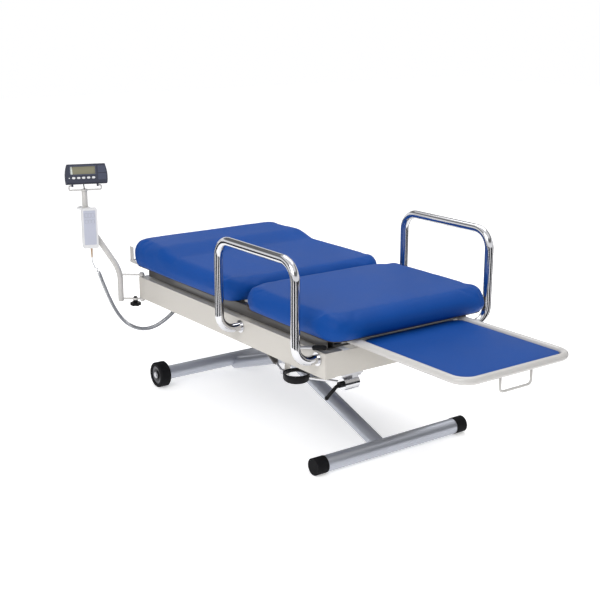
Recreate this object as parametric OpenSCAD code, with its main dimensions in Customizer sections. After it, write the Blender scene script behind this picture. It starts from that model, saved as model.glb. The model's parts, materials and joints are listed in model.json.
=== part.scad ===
// Height-adjustable weighing couch: a scissor base, a chassis on load cells, a padded seat and
// tilting backrest, a pull-out leg rest, two side rails, and a weight indicator on a swivel pole.
// +X points to the foot end, +Y to the far side, +Z up. All sizes are in millimetres.

/* [Chassis] */
// Length of the chassis box
chassis_l = 1229; // [1150:1:1300]
// Width over the two side panels
chassis_w = 650; // [600:1:700]
// Height of a side panel
panel_h = 85; // [80:1:90]
// Height of the side panels' top edge above the floor
panel_top = 426; // [424:1:430]
// Thickness of the sheet steel
sheet_t = 2; // [1.5:0.5:3]

/* [Lifting base] */
// Angle of the scissor legs above the floor
leg_angle = 18.6; // [18:0.1:19]
// Outer radius of the leg tubes
leg_r = 25; // [22:1:27]
// Distance of each leg from the middle plane
leg_y = 42; // [40:1:44]
// Outer radius of the front floor tube
bar_r = 27.5; // [25:0.5:28]
// Radius of a transport wheel
wheel_r = 50; // [45:1:55]
// Width of a transport wheel
wheel_w = 44; // [36:1:48]

/* [Upholstery] */
// Width of both cushions
cushion_w = 704; // [690:1:710]
// Height of the cushions' underside above the floor
deck_z = 468; // [467:1:470]
// Height of the seat pad above its board
seat_h = 71; // [60:1:80]
// Radius of the backrest's rolled edge, about its own hinge
roll_r = 53; // [48:1:54]
// Extra height of the head pillow
pillow_h = 24; // [10:1:30]

/* [Leg rest] */
// Outer radius of the leg rest's tube
rest_tube_r = 12; // [11:0.5:12]
// Distance of each leg rest tube from the middle plane
rest_y = 223.5; // [220:0.5:226]
// Distance of the leg rest's front tube from the chassis
rest_reach = 503; // [450:1:520]
// Bend radius at the leg rest's front corners
rest_bend = 52; // [45:1:60]

/* [Side rails] */
// Outer radius of a side rail's tube
rail_r = 15; // [13:0.5:16]
// Distance of a side rail from the middle plane
rail_y = 410; // [405:1:420]
// Height of a side rail's top bar above the floor
rail_z = 719; // [690:1:740]
// Distance between a side rail's two legs
rail_pitch = 442; // [420:1:450]

/* [Indicator and handset] */
// Outer radius of the pole
pole_r = 11; // [10:0.5:12]
// Direction of the pole's arms, from +X
arm_angle = 232; // [225:1:240]
// Direction that the display faces, from +X
face_angle = -19.4; // [-25:0.1:-15]
// Width of the indicator
indicator_w = 163; // [155:1:165]
// Height of the indicator
indicator_h = 76; // [70:1:82]
// Lean of the indicator's face away from upright
indicator_lean = 14; // [8:1:18]
// Width of the handset
handset_w = 60; // [56:1:64]
// Length of the handset
handset_l = 157; // [150:1:165]

/* [Hidden] */
$fn = 48;

beige = "#d6cfc6";
silver = "#9aa0ad";
blue = "#1e50aa";
white = "#eeeeec";
black = "#151517";
chrome = "#c8c8cc";
slate = "#3c4155";

// The couch is drawn about the chassis centre, then moved so that its whole box is centred.
couch_shift = [-167.8, 64.7, 0];
gap = 0.3;
clear = 0.05;

head_x = -chassis_l / 2;
foot_x = chassis_l / 2;
side_y = chassis_w / 2;
panel_z = panel_top - panel_h;

// Scissor base: both legs cross at their middles and share the length between their pivots.
base_x = 557;
base_z = 29;
virtual_x = -492.3;
half_leg = (base_x - virtual_x) / 2 / cos(leg_angle);
cross_x = (base_x + virtual_x) / 2;
cross_z = base_z + half_leg * sin(leg_angle);
pivot_z = base_z + 2 * half_leg * sin(leg_angle);
pivot_r = 10;
neck_r = 18;
axle_x = -487.6;
axle_z = wheel_r;
axle_r = 10;
wheel_y = 311;
bar_half = 323;
cap_l = 45;
cap_t = 1.5;
roller_r = 15.5;
channel_y = 104;

// Bed: the parts that the load cells carry.
bed_y = 285;
bed_z = 430;
rest_z = 453.7;
rest_front = foot_x + rest_reach;
rest_rear = 180;
pad_rear = foot_x + 24;
pad_z = 444;
pad_t = 12;
guide_x = [330, 580];

// Backrest: its hinge is the centre of the rolled edge, which is cut away below an inclined
// plane so that it stays above the deck all the way.
hinge_x = 64;
hinge_z = 500;
undercut = 14;
pin_r = 5;
back_z = deck_z + gap;
head_edge = -680;
seat_rear = 121;
seat_front = 680;
board_t = 12;
board_w = cushion_w - 54;
lug_y = 240;
ear_y = 273;

// Gas spring, from its bracket below the chassis to the backrest board.
spring_y = -185;
spring_foot = [182, 221];
spring_head = [-117, 392];
spring_l = norm(spring_head - spring_foot);
spring_angle = atan2(spring_head[1] - spring_foot[1], spring_foot[0] - spring_head[0]);

// Rails
rail_x = [132, 132 + rail_pitch];
rail_low = 400;
rail_bend = 65;
rail_foot_bend = 55;

// Backrest release lever on the near panel: its pivot in X and Z.
lever_at = [478, 414];

// Stirrup clamp under the foot end.
clamp_at = [590, -240, 303];
clamp_r = 21;
rod_angle = 212;
loop_r = 45;
rod_reach = 116;

// Pole and what it carries
pole_pivot = [-605.6, -317];
arm_l = 86.5;
pole_offset = 126;
pole_low = 325;
pole_knee = 452;
pole_elbow = 648;
pole_top = 769;
knob_at = 29;
tilt_z = 20;
face_x = 22;
key_y = [-39, -20, -1, 18, 37];
display_y = [-50, 45];
indicator_y = 10.5;
bracket_y = 4;
bracket_wire = 2.8;
key_z = 28;
handset_z = 550;
handset_t = 24;
handset_x = 31;
handset_y = 10;

// Curly cord, from the handset down in a free sag and up into the control box.
lead_r = 1.8;
curly_r = 7.5;
lead_route = [[-691, -487, 512], [-691, -487, 500], [-689, -483, 483], [-684, -475, 465],
    [-681.3, -467.7, 453.2]];
curly_route = [[-681, -467, 452], [-674, -460, 425], [-666, -453, 397], [-658, -446, 370],
    [-649, -438, 342], [-642, -432, 323], [-635, -426, 306], [-626, -418, 287],
    [-616, -409, 270], [-603, -397, 253], [-590, -385, 242], [-571, -369, 233],
    [-551, -351, 230], [-531, -333, 234], [-512, -316, 244], [-496, -302, 257],
    [-480, -288, 273], [-466, -275, 290], [-453, -263, 308], [-444, -254, 324],
    [-439, -249, 350]];
box_exit = curly_route[len(curly_route) - 1];
signal_r = 2.2;
signal_route = [[5.3, 0, 769], [5.3, 0, 776], [1, 0, 781.5], [-6, 0, 784.5], [-12, 0, 788],
    [-15.3, 0, 794]];

function arm_point(distance, z) = [pole_pivot[0] + distance * cos(arm_angle),
    pole_pivot[1] + distance * sin(arm_angle), z];

// ---- Shared shapes ----

module placed() {
    translate(couch_shift) children();
}

module mirror_y() {
    children();
    mirror([0, 1, 0]) children();
}

module along_x(length, radius) {
    rotate([0, 90, 0]) cylinder(h = length, r = radius);
}

module along_y(length, radius) {
    rotate([-90, 0, 0]) cylinder(h = length, r = radius);
}

// A straight tube or rod between two points.
module strut(from, to, radius) {
    step = to - from;
    length = norm(step);
    turn = atan2(step[1], step[0]);
    tilt = acos(step[2] / length);
    translate(from) rotate([0, tilt, turn]) cylinder(h = length, r = radius);
}

// A straight tube or rod from one point to the next, with a slightly larger ball at each corner.
module bent_rod(points, radius) {
    for (i = [0 : len(points) - 2]) {
        strut(points[i], points[i + 1], radius);
    }
    for (i = [1 : len(points) - 2]) {
        translate(points[i]) sphere(r = radius + clear);
    }
}

// A quarter bend about the origin in the XY plane, from +X to +Y.
module quarter_bend(bend, radius) {
    rotate_extrude(angle = 90) translate([bend, 0]) circle(r = radius);
}

// A flat plate with round corners, centred in Y and Z, that stands in the YZ plane.
module panel_plate(width, height, corner, thickness) {
    for (y = [-1, 1], z = [-1, 1]) {
        translate([0, y * (width / 2 - corner), z * (height / 2 - corner)])
            along_x(thickness, corner);
    }
    translate([0, corner - width / 2, -height / 2]) cube([thickness, width - 2 * corner, height]);
    translate([0, -width / 2, corner - height / 2]) cube([thickness, width, height - 2 * corner]);
}

// A rounded rectangle in the XY plane.
module round_plan(x0, x1, width, corner) {
    translate([x0 + corner, -width / 2]) square([x1 - x0 - 2 * corner, width]);
    translate([x0, corner - width / 2]) square([x1 - x0, width - 2 * corner]);
    for (x = [x0 + corner, x1 - corner], y = [-1, 1]) {
        translate([x, y * (width / 2 - corner)]) circle(r = corner);
    }
}

// One swept tube along a list of points, with eight sides.
function sweep_side(points, i) = let (
    ahead = points[min(i + 1, len(points) - 1)] - points[max(i - 1, 0)],
    flat = cross(ahead, [0.6, -0.8, 0.05])) flat / norm(flat);
function sweep_up(points, i) = let (
    ahead = points[min(i + 1, len(points) - 1)] - points[max(i - 1, 0)],
    up = cross(sweep_side(points, i), ahead)) up / norm(up);

module swept_tube(points, radius) {
    sides = 8;
    rings = len(points);
    verts = [for (i = [0 : rings - 1], k = [0 : sides - 1])
        points[i] + radius * (cos(k * 360 / sides) * sweep_side(points, i)
        + sin(k * 360 / sides) * sweep_up(points, i))];
    skin = [for (i = [0 : rings - 2], k = [0 : sides - 1])
        [i * sides + k, i * sides + (k + 1) % sides,
        (i + 1) * sides + (k + 1) % sides, (i + 1) * sides + k]];
    start = [for (k = [sides - 1 : -1 : 0]) k];
    finish = [for (k = [0 : sides - 1]) (rings - 1) * sides + k];
    polyhedron(points = verts, faces = concat(skin, [start, finish]));
}

// ---- Lifting base ----

module foot_caps() {
    color(black) placed() mirror_y() translate([base_x, 0, base_z]) difference() {
        translate([0, bar_half - cap_l + 5, 0]) along_y(cap_l, bar_r + cap_t);
        translate([0, bar_half - cap_l, 0]) along_y(cap_l + clear, bar_r + clear);
    }
}

// A leg from its lower end to its upper pivot, where it narrows to fit the chassis channel.
module leg_tube(low, top) {
    step = (top - low) / norm(top - low);
    shoulder = top - 42 * step;
    strut(low, shoulder, leg_r);
    strut(shoulder - step, top, neck_r);
}

module front_leg() {
    axle_far = [virtual_x, -leg_y, pivot_z];
    color(silver) placed() difference() {
        union() {
            translate([base_x, -bar_half, base_z]) along_y(2 * bar_half, bar_r);
            leg_tube([base_x, -leg_y, base_z], axle_far);
            translate([virtual_x, -leg_y - leg_r, pivot_z]) along_y(2 * leg_r, neck_r);
        }
        translate([cross_x, -leg_y - leg_r - 1, cross_z]) along_y(2 * leg_r + 2, pivot_r);
        translate([virtual_x, -leg_y - leg_r - 1, pivot_z]) along_y(2 * leg_r + 2, pivot_r);
    }
}

module scissor_pin() {
    reach = leg_y + leg_r + 6;
    color(chrome) placed() translate([cross_x, 0, cross_z]) {
        translate([0, -reach, 0]) along_y(2 * reach, pivot_r);
        translate([0, -reach - 5, 0]) along_y(5, 16);
        translate([0, leg_r - leg_y + gap, 0]) along_y(2 * (leg_y - leg_r - gap), 16);
        translate([0, reach, 0]) along_y(5, 16);
    }
}

module track_rollers() {
    reach = channel_y - 6;
    color(chrome) placed() translate([virtual_x, 0, pivot_z]) {
        translate([0, -reach, 0]) along_y(2 * reach, pivot_r);
        mirror_y() translate([0, reach - 18, 0]) along_y(18, roller_r);
    }
}

module rear_leg() {
    top = [base_x, leg_y, pivot_z];
    low = [axle_x, leg_y, cross_z - (cross_x - axle_x) * tan(leg_angle)];
    inner = wheel_y - wheel_w / 2 - 3;
    color(silver) placed() difference() {
        union() {
            leg_tube(low, top);
            translate([axle_x, -inner, axle_z]) along_y(2 * inner, 27);
            translate([base_x, leg_y - leg_r, pivot_z]) along_y(2 * leg_r, neck_r);
        }
        translate([cross_x, leg_y - leg_r - 1, cross_z]) along_y(2 * leg_r + 2, pivot_r + clear);
        translate([base_x, leg_y - leg_r - 1, pivot_z]) along_y(2 * leg_r + 2, pivot_r);
        translate([axle_x, -inner - 1, axle_z]) along_y(2 * inner + 2, axle_r);
    }
}

module rear_leg_pins() {
    reach = wheel_y + wheel_w / 2 + 3;
    pivot_reach = channel_y + 2;
    color(chrome) placed() {
        translate([axle_x, -reach, axle_z]) along_y(2 * reach, axle_r);
        translate([base_x, -pivot_reach, pivot_z]) along_y(2 * pivot_reach, pivot_r);
    }
}

module tyre(y) {
    color(black) placed() translate([axle_x, y, axle_z]) difference() {
        union() {
            translate([0, 4 - wheel_w / 2, 0]) along_y(wheel_w - 8, wheel_r);
            translate([0, -wheel_w / 2, 0]) rotate([-90, 0, 0])
                cylinder(h = 4, r1 = wheel_r - 4, r2 = wheel_r);
            translate([0, wheel_w / 2 - 4, 0]) rotate([-90, 0, 0])
                cylinder(h = 4, r1 = wheel_r, r2 = wheel_r - 4);
        }
        translate([0, -wheel_w / 2 - 1, 0]) along_y(wheel_w + 2, 36);
    }
}

module hub(y) {
    color(silver) placed() translate([axle_x, y, axle_z]) difference() {
        union() {
            translate([0, 5 - wheel_w / 2, 0]) along_y(wheel_w - 10, 36);
            translate([0, -wheel_w / 2, 0]) along_y(wheel_w, 17);
        }
        translate([0, -wheel_w / 2 - 1, 0]) along_y(wheel_w + 2, axle_r + clear);
    }
}

// ---- Chassis ----

module side_panels() {
    flange_t = [70, 40];
    color(beige) placed() difference() {
        mirror_y() translate([head_x, side_y - flange_t[0], panel_z]) {
            translate([0, flange_t[0] - sheet_t, 0]) cube([chassis_l, sheet_t, panel_h]);
            translate([0, 0, panel_h - sheet_t]) cube([chassis_l, flange_t[0], sheet_t]);
            translate([0, flange_t[0] - flange_t[1], 0]) cube([chassis_l, flange_t[1], sheet_t]);
        }
        for (x = rail_x) {
            translate([x, -side_y - 1, rail_low]) along_y(2 * side_y + 2, rail_r + 3);
        }
        translate([lever_at[0], -side_y - 1, lever_at[1]]) along_y(4, 4 + clear);
        for (y = [pole_pivot[1], -pole_pivot[1]]) {
            translate([pole_pivot[0], y, panel_z - 1]) cylinder(h = panel_h + 2, r = 5.1);
        }
    }
}

module end_panels() {
    inner = side_y - sheet_t;
    color(beige) placed() {
        translate([foot_x - sheet_t, -inner, panel_z + sheet_t])
            cube([sheet_t, 2 * inner, panel_h - 2 * sheet_t]);
        translate([head_x, -inner, panel_z + sheet_t])
            cube([sheet_t, 2 * inner, panel_h - 2 * sheet_t]);
    }
}

module lift_frame() {
    channel_h = 40;
    wall = 4;
    inner = side_y - sheet_t;
    rail_l = 1184;
    color(beige) placed() difference() {
        union() {
            mirror_y() translate([-rail_l / 2, channel_y - 28, pivot_z - channel_h / 2])
                difference() {
                    cube([rail_l, 28, channel_h]);
                    translate([-1, -1, wall])
                        cube([rail_l + 2, 28 - wall + 1, channel_h - 2 * wall]);
                }
            for (end = [[-rail_l / 2 - 20, 296], [rail_l / 2, inner]]) {
                translate([end[0], -end[1], pivot_z - channel_h / 2])
                    cube([20, 2 * end[1], channel_h]);
            }
            for (x = [-430, 190, 410]) {
                translate([x, -inner, pivot_z + channel_h / 2]) cube([20, 2 * inner, 14]);
            }
            translate([spring_foot[0] - 23, spring_y + 20, spring_foot[1] - 12]) spring_plate();
        }
        translate([-rail_l / 2 - 21, -14, pivot_z - 18]) cube([22, 28, 36]);
        translate([base_x, -channel_y - 10, pivot_z]) along_y(2 * channel_y + 20, pivot_r + clear);
        translate([spring_foot[0], spring_y + 5, spring_foot[1]]) along_y(40, 5 + clear);
    }
}

// The plate that hangs below the frame and holds the gas spring's foot.
module spring_plate() {
    rise = pivot_z + 20 - spring_foot[1] + 12;
    rotate([90, 0, 0]) linear_extrude(5)
        polygon([[11, 0], [35, 0], [76, rise], [24, rise]]);
}

module load_cells() {
    color(chrome) placed() for (x = [-510, 380], y = [-232, 232]) {
        translate([x, y - 11, pivot_z + 34]) cube([130, 22, 10]);
    }
}

module bed_frame() {
    frame_x = head_x + 34;
    frame_l = foot_x - 26 - frame_x;
    bar_x = [-480, -330, 330, 480];
    color(black) placed() {
        mirror_y() translate([frame_x, bed_y - 13, bed_z]) difference() {
            cube([frame_l, 26, deck_z - bed_z]);
            translate([-1, 2, 2]) cube([frame_l + 2, 22, deck_z - bed_z - 4]);
        }
        for (x = bar_x) {
            translate([x - 20, 12 - bed_y, bed_z]) cube([40, 2 * bed_y - 24, 8]);
        }
        translate([558, 12 - bed_y, bed_z]) cube([30, 2 * bed_y - 24, 8]);
        for (x = [-500, 470], y = [-232, 232]) {
            translate([x, y - 9, pivot_z + 44]) cube([20, 18, bed_z - pivot_z - 43]);
        }
        mirror_y() hinge_ear();
    }
}

// An ear on the bed frame that carries one backrest hinge pin, beside the board's lug.
module hinge_ear() {
    ear_t = 12;
    translate([hinge_x, ear_y, 0]) difference() {
        union() {
            translate([-14, 0, deck_z - 3]) cube([28, ear_t, hinge_z - deck_z + 3]);
            translate([0, 0, hinge_z]) along_y(ear_t, 14);
        }
        translate([0, -1, hinge_z]) along_y(ear_t + 2, pin_r + clear);
    }
}

module seat_board() {
    color("#a58a66") placed() translate([0, 0, deck_z])
        linear_extrude(board_t) round_plan(seat_rear + 16, seat_front - 24, board_w, 50);
}

module seat_cushion() {
    color(blue) placed() intersection() {
        translate([0, 0, deck_z + board_t]) linear_extrude(seat_h)
            round_plan(seat_rear, seat_front, cushion_w, 90);
        translate([0, cushion_w / 2 + 1, deck_z + board_t]) rotate([90, 0, 0])
            linear_extrude(cushion_w + 2) seat_profile();
    }
}

// Side view of the seat pad, from its rear edge to its rolled front edge.
module seat_profile() {
    edge = 38;
    translate([seat_rear + edge, 0]) square([seat_front - seat_rear - 2 * edge, seat_h]);
    translate([seat_rear, 0]) square([seat_front - seat_rear, seat_h - edge]);
    for (x = [seat_rear + edge, seat_front - edge]) {
        translate([x, seat_h - edge]) circle(r = edge);
    }
}

module rest_guides() {
    color(white) placed() for (x = guide_x) {
        mirror_y() difference() {
            translate([x - 20, rest_y - 4, bed_z + 8]) cube([28, 22, deck_z - bed_z - 8.2]);
            translate([x - 21, rest_y, rest_z]) along_x(30, rest_tube_r + gap);
        }
    }
}

module rail_sockets() {
    color(chrome) placed() for (x = rail_x) {
        mirror_y() translate([x, side_y, rail_low]) difference() {
            union() {
                along_y(4, rail_r + 7);
                translate([0, -60, 0]) along_y(60, rail_r + 3);
            }
            translate([0, -56, 0]) along_y(61, rail_r + gap);
        }
    }
}

module control_box() {
    color("#c9c9c6") placed() difference() {
        union() {
            translate([-470, -300, 352]) cube([180, 175, 48]);
            translate([box_exit[0], box_exit[1], 346]) cylinder(h = 8, r = 13);
        }
        translate([box_exit[0], box_exit[1], 330]) cylinder(h = 25, r = curly_r + 2.5);
    }
}

module stirrup_bracket() {
    color(chrome) placed() {
        translate([560, -250, panel_z - 6]) cube([50, 80, 6]);
        translate([572, -212, clamp_at[2] + clamp_r - 1]) cube([36, 24, 14]);
        translate([592, -235, panel_z - 1]) cube([18, 50, pivot_z - 19 - panel_z]);
        translate([598, -176, panel_z - 14]) cylinder(h = 8, r = 7);
    }
}

module pole_bracket() {
    lug = 4;
    color(beige) placed() mirror_y() translate([pole_pivot[0], -pole_pivot[1], 0])
        for (z = [panel_z + sheet_t, panel_top - sheet_t - lug]) {
            difference() {
                translate([-6, -45, z]) cube([52, 51, lug]);
                translate([0, 0, z - 1]) cylinder(h = lug + 2, r = 5.1);
            }
        }
}

// ---- Backrest ----

module backrest_board() {
    lug_t = 12;
    lug_l = 60;
    head_lug = [spring_head[0] - 20, spring_y + 16, spring_head[1] - 14];
    color("#a58a66") placed() difference() {
        union() {
            translate([0, 0, back_z]) linear_extrude(board_t)
                round_plan(head_edge + 24, hinge_x - 20, board_w, 50);
            mirror_y() translate([hinge_x - lug_l, lug_y, back_z])
                cube([lug_l, lug_t, hinge_z - back_z + 10]);
            mirror_y() translate([hinge_x, lug_y, hinge_z]) along_y(lug_t, 10);
            translate(head_lug) cube([40, 6, back_z - head_lug[2] + 6]);
        }
        translate([hinge_x, -bed_y, hinge_z]) along_y(2 * bed_y, pin_r);
        mirror_y() translate([hinge_x, lug_y - 1, back_z - 1])
            cube([lug_l, lug_t + 2, hinge_z - back_z - 9]);
    }
}

module backrest_cushion() {
    slot_y = lug_y - gap;
    color(blue) placed() difference() {
        intersection() {
            translate([0, 0, back_z]) linear_extrude(hinge_z + roll_r - back_z + pillow_h)
                round_plan(head_edge, hinge_x + roll_r, cushion_w, 90);
            translate([0, cushion_w / 2 + 1, back_z]) rotate([90, 0, 0])
                linear_extrude(cushion_w + 2) backrest_profile();
        }
        mirror_y() translate([hinge_x, slot_y, hinge_z]) along_y(47, 18);
        mirror_y() translate([hinge_x - 61, slot_y, back_z - 1])
            cube([61, 13, hinge_z - back_z + 12]);
    }
}

// Side view of the backrest pad: a quarter round at the hinge, a flat, then the raised pillow.
module backrest_profile() {
    edge = 45;
    pillow_x = [-350, -440, -500];
    axis_z = hinge_z - back_z;
    top = axis_z + roll_r;
    crown = top + pillow_h;
    difference() {
        union() {
            translate([hinge_x, axis_z]) circle(r = roll_r);
            translate([pillow_x[0], 0]) square([hinge_x - pillow_x[0], top]);
            polygon([[pillow_x[0], 0], [pillow_x[0], top], [pillow_x[1], crown - 4],
                [pillow_x[2], crown], [head_edge + edge, crown], [head_edge + edge, 0]]);
            translate([head_edge, 0]) square([edge, crown - edge]);
            translate([head_edge + edge, crown - edge]) circle(r = edge);
        }
        translate([hinge_x - 20, axis_z]) rotate(undercut) translate([0, -200])
            square([200, 200]);
        translate([hinge_x - 20, -200]) square([200, 200 + axis_z]);
        translate([head_edge - 1, -200]) square([hinge_x - head_edge, 200 + board_t]);
    }
}

module backrest_hinge_pins() {
    color(chrome) placed() mirror_y() translate([hinge_x, lug_y, hinge_z]) along_y(45, pin_r);
}

module paper_holder() {
    plate_y = 292;
    reach = 65;
    low = back_z - 12;
    color(white) placed() {
        mirror_y() {
            translate([head_edge - reach, plate_y, low]) cube([reach + 58, 2, 12]);
            translate([head_edge - reach, plate_y, low]) cube([28, 2, 66]);
        }
        translate([head_edge - reach + 12, -plate_y - 8, low + 10]) along_y(2 * plate_y + 16, 4);
    }
}

// ---- Leg rest ----

module rest_frame() {
    straight = rest_front - rest_bend;
    color(white) placed() {
        mirror_y() {
            translate([rest_rear, rest_y, rest_z])
                along_x(straight - rest_rear, rest_tube_r);
            translate([straight, rest_y - rest_bend, rest_z]) quarter_bend(rest_bend, rest_tube_r);
        }
        for (x = [rest_front, pad_rear - 14]) {
            half = x == rest_front ? rest_y - rest_bend : rest_y;
            translate([x, -half, rest_z]) along_y(2 * half, x == rest_front ? rest_tube_r : 8);
        }
        translate([0, 0, pad_z - 2]) linear_extrude(2)
            round_plan(pad_rear - 6, rest_front - 4, 2 * rest_y - 12, 40);
    }
}

module rest_pad() {
    side = rest_y - rest_tube_r - 0.5;
    color(blue) placed() translate([0, 0, pad_z]) linear_extrude(pad_t)
        round_plan(pad_rear, rest_front - rest_tube_r - 0.5, 2 * side, 40);
}

module pull_handle() {
    half = 64;
    drop = 56;
    wire = 4;
    color(white) placed() translate([rest_front, -15, rest_z])
        bent_rod([[0, -half, -rest_tube_r + 1], [0, -half, -drop], [0, half, -drop],
            [0, half, -rest_tube_r + 1]], wire);
}

// ---- Side rails ----

module rail() {
    shoulder = rail_z - rail_bend;
    foot_y = rail_y - rail_foot_bend;
    for (x = rail_x) {
        translate([x, side_y - 50, rail_low]) along_y(foot_y - side_y + 50, rail_r);
        translate([x, foot_y, rail_low + rail_foot_bend])
            rotate([0, 0, 90]) rotate([-90, 0, 0]) quarter_bend(rail_foot_bend, rail_r);
        translate([x, rail_y, rail_low + rail_foot_bend])
            cylinder(h = shoulder - rail_low - rail_foot_bend, r = rail_r);
    }
    translate([rail_x[0] + rail_bend, rail_y, shoulder])
        rotate([90, 0, 0]) rotate([0, 0, 90]) quarter_bend(rail_bend, rail_r);
    translate([rail_x[1] - rail_bend, rail_y, shoulder])
        rotate([90, 0, 0]) quarter_bend(rail_bend, rail_r);
    translate([rail_x[0] + rail_bend, rail_y, rail_z])
        along_x(rail_pitch - 2 * rail_bend, rail_r);
}

module near_rail() {
    color(chrome) placed() mirror([0, 1, 0]) rail();
}

module far_rail() {
    color(chrome) placed() rail();
}

// ---- Gas spring ----

module on_spring() {
    translate([spring_foot[0], spring_y, spring_foot[1]]) rotate([0, spring_angle - 90, 0])
        children();
}

module gas_spring_rod() {
    eye = 9;
    color(chrome) placed() on_spring() {
        translate([0, 0, eye - 1]) cylinder(h = 262, r = 4);
        translate([0, -5, 0]) along_y(10, eye);
        translate([0, -4.5, 0]) along_y(25, 5);
    }
}

module gas_spring_body() {
    body_l = spring_l - 66;
    color("#3a3733") placed() on_spring() difference() {
        union() {
            translate([0, 0, 50]) cylinder(h = body_l, r = 11);
            translate([0, 0, 44]) cylinder(h = 6, r = 8);
            translate([0, 0, 50 + body_l]) cylinder(h = 10, r = 6);
            translate([0, -5, spring_l]) along_y(10, 8);
            translate([0, 5, spring_l]) along_y(10, 4);
        }
        translate([0, 0, 43]) cylinder(h = 230, r = 4 + clear);
    }
}

// ---- Release lever ----

module on_lever() {
    translate([lever_at[0], -side_y - 9, lever_at[1]]) rotate([0, -14, 0]) children();
}

module release_lever() {
    color(chrome) placed() {
        on_lever() along_x(92, 4.5);
        translate([lever_at[0], -side_y - 15, lever_at[1]]) along_y(15 - gap, 9);
        translate([lever_at[0], -side_y - 10, lever_at[1]]) along_y(18, 4);
    }
}

module release_grip() {
    color(black) placed() on_lever() translate([92, 0, 0]) {
        along_x(54, 8);
        translate([54, 0, 0]) sphere(r = 8);
    }
}

// ---- Stirrup ----

module stirrup_clamp() {
    color(chrome) placed() translate([clamp_at[0], clamp_at[1] + 28, clamp_at[2]]) difference() {
        along_y(30, clamp_r);
        translate([0, -1, 0]) along_y(20, 8 + clear);
    }
}

module stirrup_rod() {
    start = [-16, 13, 0];
    end = start + [rod_reach * cos(rod_angle), rod_reach * sin(rod_angle), 0];
    color(chrome) placed() translate(clamp_at) difference() {
        union() {
            along_y(28 - gap, clamp_r);
            translate([0, 26, 0]) along_y(18, 8);
            strut(start, end, 5);
        }
        translate([0, -1, 0]) along_y(40, 5 + clear);
    }
}

// The heel loop: a band round the heel, cut away underneath so that it is tallest in front.
module heel_loop() {
    middle = rod_reach + loop_r - 4;
    band = 27;
    color(black) placed() translate(clamp_at)
        translate([-16 + middle * cos(rod_angle), 13 + middle * sin(rod_angle), -band / 2])
            difference() {
                cylinder(h = band, r = loop_r);
                translate([0, 0, -1]) cylinder(h = band + 2, r = loop_r - 5);
                rotate([0, 0, rod_angle]) translate([-loop_r - 1, 0, band / 2])
                    along_x(10, 5 + clear);
                rotate([0, 0, 144]) translate([-loop_r, 0, 0]) rotate([0, -9, 0])
                    translate([-10, -100, -60]) cube([200, 200, 60]);
            }
}

module clamp_lever() {
    color(black) placed() translate(clamp_at) {
        translate([0, -13, 0]) along_y(12.5, 10);
        translate([0, -1, 0]) along_y(30, 5);
        bent_rod([[0, -8, 0], [-4, -20, -6], [-8, -54, -38]], 6);
        translate([-8, -54, -38]) sphere(r = 7);
    }
}

// ---- Lift actuator ----

module actuator_body() {
    color("#50525a") placed() difference() {
        union() {
            translate([-190, 0, pivot_z]) along_x(260, 15);
            translate([62, -70, pivot_z - 34]) cube([88, 88, 52]);
            translate([149, -12, pivot_z - 12]) cube([31, 24, 32]);
        }
        translate([-191, 0, pivot_z]) along_x(260, 10.2);
    }
}

module actuator_rod() {
    slot = 84;
    end_x = virtual_x - slot / 2 - 6;
    color(chrome) placed() difference() {
        union() {
            translate([virtual_x + slot / 2 + 6, 0, pivot_z]) along_x(300, 10);
            translate([end_x, -12, pivot_z - 16]) cube([slot + 18, 24, 32]);
        }
        translate([virtual_x - slot / 2, -13, pivot_z - 10.5]) cube([slot, 26, 21]);
    }
}

// ---- Pole, handset and indicator ----

// The pole: upright, a slope outwards, and upright again, with a ball at each corner.
module pole() {
    top = arm_point(arm_l + pole_offset, 0);
    corner_r = pole_r + 1.5;
    points = [arm_point(arm_l, pole_low), arm_point(arm_l, pole_knee),
        [top[0], top[1], pole_elbow], [top[0], top[1], pole_top]];
    color(white) placed() {
        for (i = [0 : 2]) {
            strut(points[i], points[i + 1], pole_r);
        }
        translate(points[1]) sphere(r = corner_r);
        translate(points[2]) sphere(r = corner_r);
    }
}

module pole_arms() {
    color(white) placed() difference() {
        union() {
            for (z = [panel_top + 8, panel_z - 5]) {
                strut(arm_point(8, z), arm_point(arm_l - pole_r + 1, z), 4);
                translate(arm_point(0, z - 4)) cylinder(h = 8, r = 11);
            }
            translate(arm_point(knob_at, panel_z - 9)) cylinder(h = 8, r = 10);
            for (end = [panel_z - 14, panel_top + 12]) {
                translate(arm_point(0, end)) cylinder(h = 6, r = 8, $fn = 6);
            }
            translate(arm_point(0, panel_z - 12)) cylinder(h = panel_h + 26, r = 5);
        }
        translate(arm_point(knob_at, panel_z - 20)) cylinder(h = 24, r = 4 + clear);
    }
}

module lock_knob() {
    color(black) placed() translate(arm_point(knob_at, 0)) {
        translate([0, 0, panel_z - 12]) cylinder(h = 16, r = 4);
        translate([0, 0, panel_z - 1]) cylinder(h = 5, r = 7, $fn = 6);
        translate([0, 0, panel_z - 20]) cylinder(h = 9, r = 9);
        translate([0, 0, panel_z - 32]) cylinder(h = 12, r = 18);
        for (a = [0 : 60 : 300]) {
            rotate([0, 0, a]) translate([16, 0, panel_z - 32]) cylinder(h = 12, r = 5.5);
        }
    }
}

// The pole's top, with local +X along the way that the display faces.
module at_pole_top() {
    top = arm_point(arm_l + pole_offset, 0);
    placed() translate([top[0], top[1], 0]) rotate([0, 0, face_angle]) children();
}

// The handset's own frame, at the middle of its back.
module at_handset() {
    at_pole_top() translate([handset_x, handset_y, handset_z + handset_l / 2]) children();
}

module handset_back() {
    color(white) at_handset() {
        panel_plate(handset_w, handset_l, 6, handset_t / 2);
        translate([-handset_x, -handset_y, handset_l / 2 - 9]) hook();
    }
}

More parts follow.
